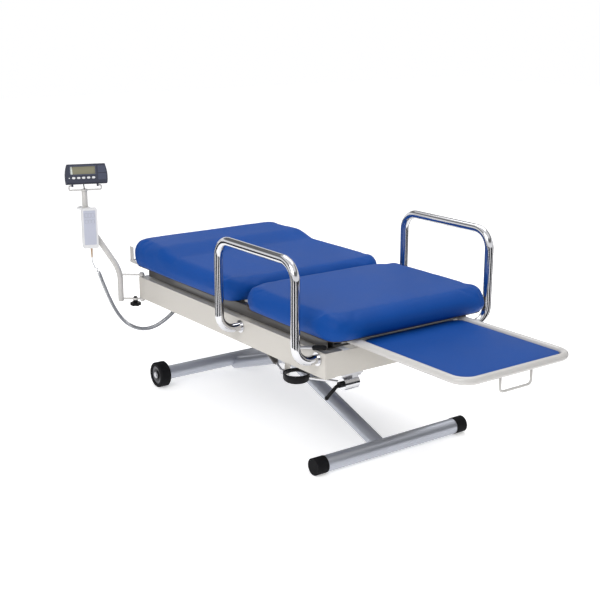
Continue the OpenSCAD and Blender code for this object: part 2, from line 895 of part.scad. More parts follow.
// The ring that hangs the handset on the pole, wide on the side away from the couch.
module hook() {
    ring_y = -8;
    inner_r = pole_r + 8 + gap;
    difference() {
        union() {
            translate([0, ring_y, 0]) cylinder(h = 7, r = inner_r + 4);
            translate([0, ring_y - 8, 0]) cube([handset_x + 1, 34, 7]);
        }
        translate([0, ring_y, -1]) cylinder(h = 9, r = inner_r);
    }
}

module keypad_plate(room, thickness) {
    translate([0, 0, 3]) panel_plate(handset_w - 14 + room, handset_l - 22 + room, 3, thickness);
}

module handset_front() {
    color(white) at_handset() translate([handset_t / 2, 0, 0]) difference() {
        panel_plate(handset_w, handset_l, 6, handset_t / 2);
        translate([11, 0, 0]) keypad_plate(0.4, 2);
    }
}

module handset_keypad() {
    color("#b9bed2") at_handset() translate([handset_t - 1, 0, 0]) {
        keypad_plate(0, 1);
        for (row = [52, 27], y = [-12.5, 0, 12.5]) {
            translate([1, y, row]) panel_plate(9, 12, 2, 0.4);
        }
    }
}

module strain_relief() {
    start = lead_route[0];
    color("#b59f8c") placed() translate([start[0], start[1], start[2]])
        cylinder(h = handset_z - start[2], r1 = 3, r2 = 4.5);
}

module indicator_bracket() {
    half = 62;
    low = pole_top + 3;
    high = pole_top + tilt_z;
    color(white) at_pole_top() {
        translate([0, bracket_y, 0]) bent_rod([[0, -half + 16, high], [0, -half, high],
            [0, -half, low], [0, half, low], [0, half, high], [0, half - 16, high]], bracket_wire);
        translate([0, 0, pole_top]) difference() {
            cylinder(h = 5, r = pole_r + 1);
            translate([0, 0, -1]) cylinder(h = 8, r = 8);
        }
    }
}

// The indicator's own frame: its tilt axis is Y, and its face leans back.
module at_indicator() {
    at_pole_top() translate([0, 0, pole_top + tilt_z]) rotate([0, -indicator_lean, 0]) children();
}

// Front outline of the indicator: its sides swell towards the bottom third.
function swell(t) = indicator_w / 2 - 5 * pow(t - 0.35, 2) * 4;
module indicator_outline(inset) {
    steps = [0 : 0.1 : 1];
    scaled = [for (t = steps) [swell(t) - inset, 6 + inset + t * (indicator_h - 2 * inset)]];
    other = [for (t = [1 : -0.1 : 0]) [-swell(t) + inset, 6 + inset + t * (indicator_h - 2 * inset)]];
    translate([indicator_y, 0]) polygon(concat(scaled, other));
}

module indicator_slab(inset, thickness) {
    rotate([90, 0, 90]) linear_extrude(thickness) indicator_outline(inset);
}

module indicator_shell() {
    color(slate) at_indicator() translate([-face_x + 6, 0, 0]) difference() {
        union() {
            indicator_slab(0, 26);
            translate([-8, 0, 0]) indicator_slab(7, 8);
            for (y = [bracket_y - 52, bracket_y + 45]) {
                translate([face_x - 12, y, -4]) cube([12, 7, 12]);
            }
        }
        translate([3, 0, 0]) indicator_slab(3, 26);
        translate([face_x - 6, -70, 0]) along_y(140, bracket_wire + clear);
        translate([2, 0, 0]) cylinder(h = 20, r = 7);
    }
}

module indicator_bezel() {
    color(slate) at_indicator() translate([10, 0, 0]) difference() {
        union() {
            indicator_slab(0, 6);
            translate([6, 0, 0]) indicator_slab(3, 4);
        }
        translate([-1, display_y[0], 42]) cube([14, display_y[1] - display_y[0], 30]);
        for (y = key_y) {
            translate([-1, y, key_z]) key_shape(14, 4.2);
        }
    }
}

// An oval bar across the face, for a key or its hole.
module key_shape(length, radius) {
    mirror_y() translate([0, 2.4, 0]) along_x(length, radius);
    translate([0, -2.4, -radius]) cube([length, 4.8, 2 * radius]);
}

module indicator_display() {
    color("#8b8a5c") at_indicator() translate([11, display_y[0], 42])
        cube([6, display_y[1] - display_y[0], 30]);
}

module indicator_key(number) {
    color(white) at_indicator() translate([9.5, key_y[number - 1], key_z]) {
        key_shape(12.1, 3.9);
        translate([-2, 0, 0]) key_shape(2.1, 5.2);
    }
}

module indicator_lead() {
    color(black) at_pole_top() swept_tube(signal_route, signal_r);
}

module handset_lead() {
    color("#9a9ca0") placed() swept_tube(lead_route, lead_r);
}

module curly_cord() {
    color("#8b8e94") placed() swept_tube(curly_route, curly_r);
}

foot_caps();
front_leg();
scissor_pin();
track_rollers();
rear_leg();
rear_leg_pins();
tyre(-wheel_y);  // near_tyre
hub(-wheel_y);  // near_hub
tyre(wheel_y);  // far_tyre
hub(wheel_y);  // far_hub
side_panels();
end_panels();
lift_frame();
load_cells();
bed_frame();
seat_board();
seat_cushion();
rest_guides();
rail_sockets();
control_box();
stirrup_bracket();
pole_bracket();
backrest_board();
backrest_cushion();
backrest_hinge_pins();
paper_holder();
rest_frame();
rest_pad();
pull_handle();
near_rail();
far_rail();
gas_spring_rod();
gas_spring_body();
release_lever();
release_grip();
stirrup_clamp();
clamp_lever();
stirrup_rod();
heel_loop();
actuator_body();
actuator_rod();
pole();
pole_arms();
lock_knob();
handset_back();
handset_front();
handset_keypad();
strain_relief();
indicator_bracket();
indicator_shell();
indicator_bezel();
indicator_display();
indicator_key(1);  // indicator_key_1
indicator_key(2);  // indicator_key_2
indicator_key(3);  // indicator_key_3
indicator_key(4);  // indicator_key_4
indicator_key(5);  // indicator_key_5
indicator_lead();
handset_lead();
curly_cord();
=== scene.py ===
import bisect
import json
import math

import bpy
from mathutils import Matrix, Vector


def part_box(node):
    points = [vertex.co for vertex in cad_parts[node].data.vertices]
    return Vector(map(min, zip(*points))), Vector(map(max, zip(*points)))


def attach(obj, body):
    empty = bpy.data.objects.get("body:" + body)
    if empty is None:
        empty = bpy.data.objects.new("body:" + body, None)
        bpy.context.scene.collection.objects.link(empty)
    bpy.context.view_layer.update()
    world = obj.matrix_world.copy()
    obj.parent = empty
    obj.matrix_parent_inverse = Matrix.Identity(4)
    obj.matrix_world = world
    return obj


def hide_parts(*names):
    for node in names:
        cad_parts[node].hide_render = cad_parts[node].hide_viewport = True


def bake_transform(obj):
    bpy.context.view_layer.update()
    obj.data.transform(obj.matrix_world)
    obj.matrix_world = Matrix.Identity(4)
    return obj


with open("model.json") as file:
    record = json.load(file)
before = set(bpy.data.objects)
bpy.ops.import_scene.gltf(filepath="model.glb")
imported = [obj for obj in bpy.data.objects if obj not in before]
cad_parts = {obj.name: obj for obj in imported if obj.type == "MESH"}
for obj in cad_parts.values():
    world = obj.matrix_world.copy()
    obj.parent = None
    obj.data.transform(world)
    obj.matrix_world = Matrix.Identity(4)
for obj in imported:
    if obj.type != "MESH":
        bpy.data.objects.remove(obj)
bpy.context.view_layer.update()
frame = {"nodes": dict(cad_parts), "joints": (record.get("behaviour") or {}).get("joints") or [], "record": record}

SCENE = bpy.context.scene
NODES = frame["nodes"]


def corner(node, side):
    """Lowest (0) or highest (1) corner of a CAD node, in metres."""
    return Vector(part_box(node)[side])


# The middle of the chassis, on the floor: every route and view is set out from here.
PANEL_LOW = corner("side_panels", 0)
PANEL_HIGH = corner("side_panels", 1)
MIDDLE = Vector(((PANEL_LOW.x + PANEL_HIGH.x) / 2, (PANEL_LOW.y + PANEL_HIGH.y) / 2, 0))


def at(x, y, z):
    """A point given in millimetres from the chassis middle, as metres in the row frame."""
    return MIDDLE + Vector((x, y, z)) / 1000


# ---- Camera ----

def add_camera():
    data = bpy.data.cameras.new("Camera")
    data.lens = 65.7
    data.sensor_width = 36
    camera = bpy.data.objects.new("Camera", data)
    camera.location = MIDDLE + Vector((3.18468, -2.2705, 1.47366))
    ahead = Vector((-0.78349, 0.56359, -0.26174))
    camera.rotation_euler = ahead.to_track_quat("-Z", "Y").to_euler()
    SCENE.collection.objects.link(camera)
    SCENE.camera = camera


add_camera()


# ---- Shader writing ----

class Wire:
    """One value in a shader, so that sums on it are written as plain arithmetic."""

    def __init__(self, tree, socket):
        self.tree = tree
        self.socket = socket

    def maths(self, operation, *values):
        node = self.tree.nodes.new("ShaderNodeMath")
        node.operation = operation
        for slot, value in zip(node.inputs, values):
            join(self.tree, value, slot)
        return Wire(self.tree, node.outputs[0])

    def __add__(self, other):
        return self.maths("ADD", self, other)

    def __sub__(self, other):
        return self.maths("SUBTRACT", self, other)

    def __mul__(self, other):
        return self.maths("MULTIPLY", self, other)

    def __rsub__(self, other):
        return self.maths("SUBTRACT", other, self)

    __radd__ = __add__
    __rmul__ = __mul__

    def above(self, edge, softness):
        """0 below the edge, 1 above it, with a soft step between."""
        node = self.tree.nodes.new("ShaderNodeMapRange")
        node.interpolation_type = "SMOOTHSTEP"
        join(self.tree, self, node.inputs["Value"])
        node.inputs["From Min"].default_value = edge - softness
        node.inputs["From Max"].default_value = edge + softness
        return Wire(self.tree, node.outputs["Result"])


def join(tree, value, slot):
    """Feeds a socket from a Wire, or sets it to a constant."""
    if isinstance(value, Wire):
        tree.links.new(value.socket, slot)
    else:
        slot.default_value = value


def rgba(colour):
    return (*colour, 1.0)


class Finish:
    """A material in the making: its Principled shader and the nodes that feed it."""

    def __init__(self, name, colour, roughness, **constants):
        self.material = bpy.data.materials.new(name)
        self.material.use_nodes = True
        self.tree = self.material.node_tree
        self.shader = self.tree.nodes["Principled BSDF"]
        self.colour = colour
        self.set("Base Color", rgba(colour))
        self.set("Roughness", roughness)
        for socket, value in constants.items():
            self.set(socket.replace("_", " "), value)
        self.place = self.node("ShaderNodeTexCoord", out="Object")

    def set(self, socket, value):
        join(self.tree, value, self.shader.inputs[socket])

    def node(self, kind, settings=(), sockets=(), out=0):
        node = self.tree.nodes.new(kind)
        for key, value in dict(settings).items():
            setattr(node, key, value)
        for key, value in dict(sockets).items():
            join(self.tree, value, node.inputs[key])
        return Wire(self.tree, node.outputs[out])

    def noise(self, scale, detail=3.0, rough=0.55, place=None):
        return self.node("ShaderNodeTexNoise", (), {
            "Vector": place or self.place, "Scale": scale, "Detail": detail,
            "Roughness": rough}, "Fac")

    def cells(self, scale, feature="F1"):
        return self.node("ShaderNodeTexVoronoi", {"feature": feature}, {
            "Vector": self.place, "Scale": scale}, "Distance")

    def stretched(self, x, y, z):
        """The place, scaled by an amount along each axis."""
        return self.node("ShaderNodeVectorMath", {"operation": "MULTIPLY"},
            {0: self.place, 1: (x, y, z)})

    def axis(self, name, place=None):
        return self.node("ShaderNodeSeparateXYZ", (), {0: place or self.place}, name)

    def mix(self, share, first, second):
        """A colour between two: each is a colour or a Wire."""
        node = self.tree.nodes.new("ShaderNodeMix")
        node.data_type = "RGBA"
        for key, value in ((0, share), (6, first), (7, second)):
            if not isinstance(value, Wire) and key:
                value = rgba(value)
            join(self.tree, value, node.inputs[key])
        return Wire(self.tree, node.outputs[2])

    def tint(self, share, dark, light):
        """Base colour that wanders between two multiples of the main colour."""
        low = tuple(min(c * dark, 1) for c in self.colour)
        high = tuple(min(c * light, 1) for c in self.colour)
        colour = self.mix(share, low, high)
        self.set("Base Color", colour)
        return colour

    def relief(self, height, depth, strength=1.0):
        """Bump of a depth in metres from a height between 0 and 1."""
        bump = self.node("ShaderNodeBump", (), {
            "Height": height, "Distance": depth, "Strength": strength}, "Normal")
        self.set("Normal", bump)


def vinyl():
    f = Finish("blue_vinyl_finish", (0.003, 0.054, 0.262), 0.45, Specular_IOR_Level=0.10)
    pores = f.cells(620)
    creases = f.cells(240, "SMOOTH_F1")
    drift = f.noise(5, 2)
    fine = f.noise(300, 3)
    f.tint(0.65 * drift + 0.35 * fine, 0.82, 1.20)
    f.set("Roughness", 0.38 + 0.10 * drift + 0.10 * pores)
    f.relief(0.55 * pores + 0.3 * creases + 0.15 * fine, 0.0009, 0.55)
    return f


def enamel(name, colour, roughness, coat=0.25):
    f = Finish(name, colour, roughness, Coat_Weight=coat, Coat_Roughness=0.15)
    peel = f.noise(420, 2)
    drift = f.noise(3.5, 3)
    f.tint(0.7 * drift + 0.3 * f.noise(60, 4), 0.93, 1.05)
    f.set("Roughness", roughness - 0.05 + 0.10 * drift)
    f.relief(peel, 0.0004, 0.22)
    return f


def metallic_paint():
    f = Finish("silver_paint_finish", (0.46, 0.48, 0.535), 0.36, Metallic=0.75,
        Coat_Weight=0.3, Coat_Roughness=0.12)
    flakes = f.cells(1500)
    drift = f.noise(6, 3)
    f.tint(0.6 * flakes + 0.4 * drift, 0.82, 1.18)
    f.set("Roughness", 0.28 + 0.12 * drift + 0.08 * flakes)
    f.relief(f.noise(300, 2), 0.0004, 0.2)
    return f


def bright_metal(name, colour, roughness, along="X", brushed=0.0):
    f = Finish(name, colour, roughness, Metallic=1.0)
    stretch = {"X": (4, 500, 500), "Y": (500, 4, 500), "Z": (500, 500, 4)}[along]
    lines = f.noise(1.0, 2, 0.5, f.stretched(*stretch))
    smear = f.noise(14, 4)
    f.tint(smear, 0.93, 1.04)
    f.set("Roughness", roughness + 0.07 * smear + brushed * lines)
    f.relief(lines, 0.0002, 0.08 + brushed)
    return f


def rubber(name, colour, roughness=0.72):
    f = Finish(name, colour, roughness, Specular_IOR_Level=0.12)
    grain = f.noise(700, 3)
    dust = f.noise(22, 5).above(0.62, 0.12)
    f.tint(0.6 * grain + 0.4 * dust, 0.8, 1.7)
    f.set("Roughness", roughness - 0.08 + 0.16 * grain)
    f.relief(grain, 0.0005, 0.35)
    return f


def moulded(name, colour, roughness=0.45, grain=900, depth=0.3, gloss=0.45):
    """Moulded plastic with a fine spark-eroded texture."""
    f = Finish(name, colour, roughness, Specular_IOR_Level=gloss)
    spark = f.noise(grain, 2)
    drift = f.noise(9, 3)
    f.tint(0.5 * spark + 0.5 * drift, 0.90, 1.10)
    f.set("Roughness", roughness - 0.06 + 0.12 * drift + 0.05 * spark)
    f.relief(spark, 0.0003, depth)
    return f


def hub_plastic():
    """Black moulded hub with a bright steel axle end at its middle."""
    f = Finish("hub_finish", (0.010, 0.010, 0.011), 0.4)
    low, high = corner("near_hub", 0), corner("near_hub", 1)
    x = f.axis("X") - (low.x + high.x) / 2
    z = f.axis("Z") - (low.z + high.z) / 2
    spread = x * x + z * z
    rim = spread.above(0.0255 ** 2, 0.00006)
    boss = 1 - spread.above(0.0125 ** 2, 0.00002)
    grain = f.noise(800, 2)
    dark = f.tint(grain, 0.8, 1.3)
    f.set("Base Color", f.mix(boss, f.mix(rim, dark, (0.10, 0.10, 0.11)), (0.6, 0.6, 0.62)))
    f.set("Metallic", boss)
    f.set("Roughness", 0.42 - 0.16 * boss + 0.1 * grain)
    f.relief(grain, 0.0003, 0.25)
    return f


def shade_darkened_plywood():
    # Plywood grain and plies over a dark brown-black base. The base is partly the boards' dark liner and partly
    # painted shade, standing in for the shadow under the cushions.
    f = Finish("shade_darkened_board_finish", (0.060, 0.048, 0.038), 0.7, Specular_IOR_Level=0.2)
    grain = f.noise(1.0, 4, 0.6, f.stretched(6, 90, 400))
    plies = f.node("ShaderNodeTexWave", {"bands_direction": "Z"},
        {"Vector": f.place, "Scale": 120.0, "Distortion": 1.5}, "Fac")
    f.tint(0.6 * grain + 0.4 * plies, 0.65, 1.25)
    f.relief(grain, 0.0004, 0.3)
    return f


def crystal():
    """Display glass over an olive panel, with a lit left edge."""
    f = Finish("display_finish", (0.19, 0.18, 0.11), 0.12, Coat_Weight=1.0,
        Coat_Roughness=0.05)
    low, high = corner("indicator_display", 0), corner("indicator_display", 1)
    across = (f.axis("Y") - low.y) * (1 / (high.y - low.y))
    glow = 1 - across.above(0.085, 0.02)
    lines = f.node("ShaderNodeTexWave", {"bands_direction": "Z"},
        {"Vector": f.place, "Scale": 220.0, "Distortion": 0.0}, "Fac")
    f.set("Base Color", f.mix(glow, f.tint(lines, 0.9, 1.08), (0.62, 0.66, 0.60)))
    f.set("Roughness", 0.10 + 0.08 * f.noise(40, 2))
    return f


def cord_jacket(name, colour):
    f = Finish(name, colour, 0.42)
    mottle = f.noise(260, 3)
    f.tint(mottle, 0.85, 1.12)
    f.set("Roughness", 0.36 + 0.12 * mottle)
    f.relief(f.noise(1800, 2), 0.0002, 0.2)
    return f


FINISHES = {
    "blue_vinyl": vinyl(),
    "beige_paint": enamel("beige_paint_finish", (0.50, 0.475, 0.435), 0.40),
    "white_paint": enamel("white_paint_finish", (0.50, 0.487, 0.47), 0.30, 0.3),
    "silver_paint": metallic_paint(),
    "chrome": bright_metal("chrome_finish", (0.66, 0.66, 0.68), 0.06),
    "steel": bright_metal("steel_finish", (0.58, 0.58, 0.60), 0.26, "Y", 0.18),
    "black_rubber": rubber("black_rubber_finish", (0.006, 0.006, 0.007)),
    "tan_rubber": rubber("tan_rubber_finish", (0.38, 0.27, 0.19), 0.6),
    "grey_hub": hub_plastic(),
    "grey_plastic": moulded("grey_plastic_finish", (0.52, 0.52, 0.51)),
    "black_plastic": moulded("black_plastic_finish", (0.004, 0.004, 0.005), 0.36, gloss=0.18),
    "slate_plastic": moulded("slate_plastic_finish", (0.026, 0.030, 0.052), 0.46),
    "slate_trim": moulded("slate_trim_finish", (0.050, 0.057, 0.092), 0.34, 1200, 0.15),
    "white_plastic": moulded("white_plastic_finish", (0.64, 0.64, 0.645), 0.30, 1200, 0.12),
    "membrane": moulded("membrane_finish", (0.44, 0.455, 0.53), 0.40, 1500, 0.10),
    "membrane_print": moulded("membrane_print_finish", (0.30, 0.31, 0.35), 0.40, 1500, 0.10),
    "dark_metal": enamel("dark_metal_finish", (0.050, 0.046, 0.042), 0.30, 0.5),
    "board": shade_darkened_plywood(),
    "display": crystal(),
    "black_cord": cord_jacket("black_cord_finish", (0.018, 0.018, 0.018)),
    "grey_cord": cord_jacket("grey_cord_finish", (0.26, 0.27, 0.295)),
}


def dress(piece, finish):
    piece.data.materials.clear()
    piece.data.materials.append(FINISHES[finish].material)


def dress_cad():
    """Gives each carried-over CAD node the finish of its material slot."""
    for part in frame["record"]["subparts"]:
        if part["node"] in NODES:
            holder = NODES[part["node"]]
            if not holder.material_slots:
                holder.data.materials.append(None)
            for slot in holder.material_slots:
                slot.link = "OBJECT"
                slot.material = FINISHES[part["material_slot"]].material


dress_cad()


# ---- Mesh helpers ----

def place_mesh(name, verts, faces, finish, smooth=True):
    mesh = bpy.data.meshes.new(name)
    mesh.from_pydata([tuple(v) for v in verts], [], faces)
    mesh.update()
    for face in mesh.polygons:
        face.use_smooth = smooth
    piece = bpy.data.objects.new(name, mesh)
    SCENE.collection.objects.link(piece)
    dress(piece, finish)
    return piece


def settle(piece, *modifiers):
    """Applies modifiers, each given as a type and its settings."""
    for kind, settings in modifiers:
        step = piece.modifiers.new(kind.title(), kind)
        for key, value in settings.items():
            setattr(step, key, value)
    graph = bpy.context.evaluated_depsgraph_get()
    mesh = bpy.data.meshes.new_from_object(piece.evaluated_get(graph), depsgraph=graph)
    piece.modifiers.clear()
    piece.data = mesh
    for face in mesh.polygons:
        face.use_smooth = True
    return piece


# ---- Curly cord ----

# The wire's diameter in metres, then the route's points in millimetres: the straight lead
# below the hand control, and the sag down and up into the gland.
WIRE = 0.0030
LEAD = [(-691, -487, 512), (-691, -487, 500), (-689, -483, 483), (-684, -475, 465)]
SAG = [(-681, -467, 452), (-674, -460, 425), (-666, -453, 397), (-658, -446, 370),
    (-649, -438, 342), (-642, -432, 323), (-635, -426, 306), (-626, -418, 287),
    (-616, -409, 270), (-603, -397, 253), (-590, -385, 242), (-571, -369, 233),
    (-551, -351, 230), (-531, -333, 234), (-512, -316, 244), (-496, -302, 257),
    (-480, -288, 273), (-466, -275, 290), (-453, -263, 308), (-444, -254, 324),
    (-439, -249, 350)]


class Route:
    """A smooth line through points, read by the distance along it."""

    def __init__(self, points):
        points = [Vector(p) for p in points]
        ends = [2 * points[0] - points[1], *points, 2 * points[-1] - points[-2]]
        self.line = []
        pieces = 12
        for i in range(1, len(ends) - 2):
            for k in range(pieces):
                self.line.append(self.blend(ends[i - 1:i + 3], k / pieces))
        self.line.append(points[-1])
        self.reach = [0.0]
        for a, b in zip(self.line, self.line[1:]):
            self.reach.append(self.reach[-1] + (b - a).length)
        self.length = self.reach[-1]

    @staticmethod
    def blend(p, t):
        """A point between the middle two of four, on a curve that passes through all."""
        return 0.5 * (2 * p[1] + (p[2] - p[0]) * t
            + (2 * p[0] - 5 * p[1] + 4 * p[2] - p[3]) * t ** 2
            + (3 * p[1] - p[0] - 3 * p[2] + p[3]) * t ** 3)

    def point(self, distance):
        i = min(max(bisect.bisect_right(self.reach, distance), 1), len(self.line) - 1)
        span = self.reach[i] - self.reach[i - 1]
        share = (distance - self.reach[i - 1]) / span if span else 0
        return self.line[i - 1].lerp(self.line[i], min(max(share, 0), 1))

    def ahead(self, distance):
        step = 0.004
        return (self.point(distance + step) - self.point(distance - step)).normalized()


def curly_points():
    """Straight lead first, then a coil about the sagging route, then straight into its gland.
    At each end the coil opens out before it tightens, so that no bend is sharp."""
    route = Route([at(*p) for p in LEAD + SAG])
    coil_from = (at(*LEAD[0]) - at(*SAG[0])).length - 0.030
    coil_to = route.length - 0.012
    pitch = 0.0040
    radius = 0.0062
    per_turn = 14
    ramp = 0.040
    step = pitch / per_turn
    points = [route.point(coil_from * i / 10) for i in range(10)]
    side = Vector((0.8, 0.6, 0))
    distance = coil_from
    angle = 0.0
    while distance < coil_to:
        ahead = route.ahead(distance)
        side = (side - ahead * side.dot(ahead)).normalized()
        up = ahead.cross(side)
        share = min(min(distance - coil_from, coil_to - distance) / ramp, 1)
        open_share = min(share / 0.62, 1)
        reach = radius * open_share ** 2 * (3 - 2 * open_share)
        tight = max((share - 0.62) / 0.38, 0)
        rate = 0.20 + 0.80 * tight ** 2 * (3 - 2 * tight)
        points.append(route.point(distance)
            + reach * (math.cos(angle) * side + math.sin(angle) * up))
        angle += 2 * math.pi * rate / per_turn
        distance += step
    for i in range(1, 6):
        points.append(route.point(coil_to + (route.length - coil_to) * i / 5))
    return points


def make_cord():
    points = curly_points()
    curve = bpy.data.curves.new("round_line", "CURVE")
    curve.dimensions = "3D"
    curve.bevel_depth = WIRE / 2
    curve.bevel_resolution = 2
    curve.use_fill_caps = True
    spline = curve.splines.new("POLY")
    spline.points.add(len(points) - 1)
    for slot, p in zip(spline.points, points):
        slot.co = (*p, 1)
    round_line = bpy.data.objects.new("round_line", curve)
    SCENE.collection.objects.link(round_line)
    graph = bpy.context.evaluated_depsgraph_get()
    mesh = bpy.data.meshes.new_from_object(round_line.evaluated_get(graph), depsgraph=graph)
    bpy.data.objects.remove(round_line)
    for face in mesh.polygons:
        face.use_smooth = True
    piece = bpy.data.objects.new("curly_cord_jacket", mesh)
    SCENE.collection.objects.link(piece)
    dress(piece, "grey_cord")
    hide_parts("handset_lead", "curly_cord")
    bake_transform(piece)
    length = sum((b - a).length for a, b in zip(points, points[1:]))


make_cord()


# ---- Upholstery ----

def arc(cx, cz, rx, rz, start, end, steps):
    """Points on an ellipse about (cx, cz), from one angle to another, in degrees."""
    angles = [math.radians(start + (end - start) * i / steps) for i in range(steps + 1)]
    return [(cx + rx * math.cos(a), cz + rz * math.sin(a)) for a in angles]


def even(outline, count):
    """A closed outline, redrawn with evenly spaced points."""
    closed = outline + outline[:1]
    reach = [0.0]
    for (ax, az), (bx, bz) in zip(closed, closed[1:]):
        reach.append(reach[-1] + math.hypot(bx - ax, bz - az))
    result = []
    for k in range(count):
        distance = reach[-1] * k / count
        i = bisect.bisect_right(reach, distance)
        share = (distance - reach[i - 1]) / (reach[i] - reach[i - 1])
        (ax, az), (bx, bz) = closed[i - 1], closed[i]
        result.append((ax + (bx - ax) * share, az + (bz - az) * share))
    return result


def inset(outline, amount):
    """A closed outline, moved inwards; it runs counter-clockwise."""
    count = len(outline)
    result = []
    for i in range(count):
        (ax, az), (bx, bz) = outline[i - 1], outline[(i + 1) % count]
        length = math.hypot(bx - ax, bz - az) or 1
        x, z = outline[i]
        result.append((x - (bz - az) / length * amount, z + (bx - ax) / length * amount))
    return result


def loft_pad(name, outline, half_w, edge, plan):
    """A pad whose side view is the outline, rounded over its long edges by edge.
    plan(x, y) is how far a point at x moves along X where the pad's plan corners round."""
    rings = []
    steps = 10
    rows = [half_w - edge * (1 - math.sin(math.pi / 2 * i / steps)) for i in range(steps + 1)]
    flat = [rows[0] * i / 14 for i in range(14)]
    across = [-y for y in reversed(flat[1:] + rows)] + flat + rows
    for y in across:
        depth = max(abs(y) - (half_w - edge), 0)
        amount = edge - math.sqrt(max(edge ** 2 - depth ** 2, 0))
        ring = inset(outline, amount * 0.92)
        rings.append([Vector((x + plan(x, abs(y)), MIDDLE.y + y, z)) for x, z in ring])
    count = len(outline)
    verts = [v for ring in rings for v in ring]
    faces = []
    for k in range(len(rings) - 1):
        for i in range(count):
            j = (i + 1) % count
            faces.append((k * count + i, k * count + j, (k + 1) * count + j,
                (k + 1) * count + i))
    faces.append(tuple(reversed(range(count))))
    faces.append(tuple(range((len(rings) - 1) * count, len(rings) * count)))
    return place_mesh(name, verts, faces, "blue_vinyl")


def swell(piece, voxel, pressure, cap, anchor_z):
    """Blows the pad up a little as cloth, then holds each point to within a cap."""
    settle(piece, ("REMESH", {"mode": "VOXEL", "voxel_size": voxel}))
    start = [v.co.copy() for v in piece.data.vertices]
    group = piece.vertex_groups.new(name="held")
    held = [v.index for v in piece.data.vertices if v.co.z < anchor_z]
    group.add(held, 1.0, "REPLACE")
    cloth = piece.modifiers.new("Cloth", "CLOTH")
    cloth.settings.effector_weights.gravity = 0
    cloth.settings.use_pressure = True
    cloth.settings.uniform_pressure_force = pressure
    cloth.settings.quality = 4
    cloth.settings.tension_stiffness = 12
    cloth.settings.compression_stiffness = 12
    cloth.settings.vertex_group_mass = "held"
    cloth.point_cache.frame_start = 1
    cloth.point_cache.frame_end = 20
    for number in range(1, 15):
        SCENE.frame_set(number)
    graph = bpy.context.evaluated_depsgraph_get()
    moved = piece.evaluated_get(graph).to_mesh()
    ends = [v.co.copy() for v in moved.vertices]
    piece.modifiers.clear()
    for v, a, b in zip(piece.data.vertices, start, ends):
        shift = b - a
        if shift.length > cap:
            shift *= cap / shift.length
        v.co = a + shift
    SCENE.frame_set(1)
    return piece


def soften(piece):
    settle(piece, ("SMOOTH", {"factor": 0.5, "iterations": 4}),
        ("SUBSURF", {"levels": 1, "render_levels": 1}))
    return piece


def deck():
    """Height of the upholstery's underside, which laps the boards from below."""
    return corner("seat_board", 0).z - 0.0013


def seat_outline():
    low, high = corner("seat_cushion", 0), corner("seat_cushion", 1)
    base = deck()
    top = high.z - 0.004
    x0, x1 = low.x + 0.002, high.x - 0.002
    rear = arc(x0 + 0.046, top - 0.046, 0.046, 0.046, 180, 90, 10)
    front = arc(x1 - 0.062, top - 0.050, 0.062, 0.050, 90, 0, 12)
    under = arc(x1 - 0.036, base + 0.032, 0.036, 0.032, 0, -90, 8)
    back = arc(x0 + 0.034, base + 0.034, 0.034, 0.034, -90, -180, 8)
    return even((rear + front + under + back)[::-1], 150)


def hinge_point(name):
    """Where a joint turns, in the row frame."""
    joint = next(j for j in frame["joints"] if j["name"] == name)
    return Vector(joint["pos_m"])


def back_outline():
    """Side view of the backrest: a pillow at the head, a flat, and a roll at the hinge.
    The roll's underside leaves room for it to turn above the deck."""
    low, high = corner("backrest_cushion", 0), corner("backrest_cushion", 1)
    hinge = hinge_point("backrest_tilt")
    base = deck()
    crown = high.z - 0.004
    flat = crown - 0.024
    x0 = low.x + 0.001
    head_low = arc(x0 + 0.036, base + 0.036, 0.036, 0.036, -90, -180, 8)
    head = arc(x0 + 0.066, crown - 0.062, 0.066, 0.062, 180, 90, 12)
    pillow_end = x0 + 0.225
    dip = x0 + 0.370
    ramp = []
    for i in range(1, 12):
        t = i / 12
        ease = t * t * (3 - 2 * t)
        ramp.append((pillow_end + (dip - pillow_end) * t, crown + (flat - crown) * ease))
    roll = arc(hinge.x + 0.002, hinge.z, 0.049, flat - hinge.z, 90, 16, 10)
    room = ((0.0505, 14), (0.047, 9), (0.042, 2), (0.038, -5), (0.034, -16), (0.031, -30),
        (0.031, -45), (0.031, -60))
    lift = [(hinge.x + r * math.cos(math.radians(a)), hinge.z + r * math.sin(math.radians(a)))
        for r, a in room]
    lift += [(hinge.x - 0.006, base + 0.001), (hinge.x - 0.03, base)]
    return even((head_low + head + ramp + roll + lift)[::-1], 190)


def round_corners(x_low, x_high, low_r, high_r, half_w):
    """Plan corners: how far a point slides inwards along X near the pad's long edges."""
    def slide(x, y):
        share = (x - x_low) / (x_high - x_low)
        result = 0.0
        for radius, weight, sign in ((low_r, max(1 - 2.2 * share, 0), 1),
                (high_r, max(2.2 * share - 1.2, 0), -1)):
            depth = max(y - (half_w - radius), 0)
            result += sign * weight * (radius - math.sqrt(max(radius ** 2 - depth ** 2, 0)))
        return result
    return slide


def make_cushion(name, node, outline, head_corner, foot_corner, body):
    """A cushion that is lofted, blown up a little as cloth, and softened."""
    low, high = corner(node, 0), corner(node, 1)
    half_w = (high.y - low.y) / 2 - 0.002
    long_edge = 0.043
    plan = round_corners(low.x, high.x, head_corner, foot_corner, half_w)
    piece = loft_pad(name, outline, half_w, long_edge, plan)
    swell(piece, voxel=0.007, pressure=3.0, cap=0.005, anchor_z=deck() + 0.006)
    soften(piece)
    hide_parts(node)
    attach(piece, body)


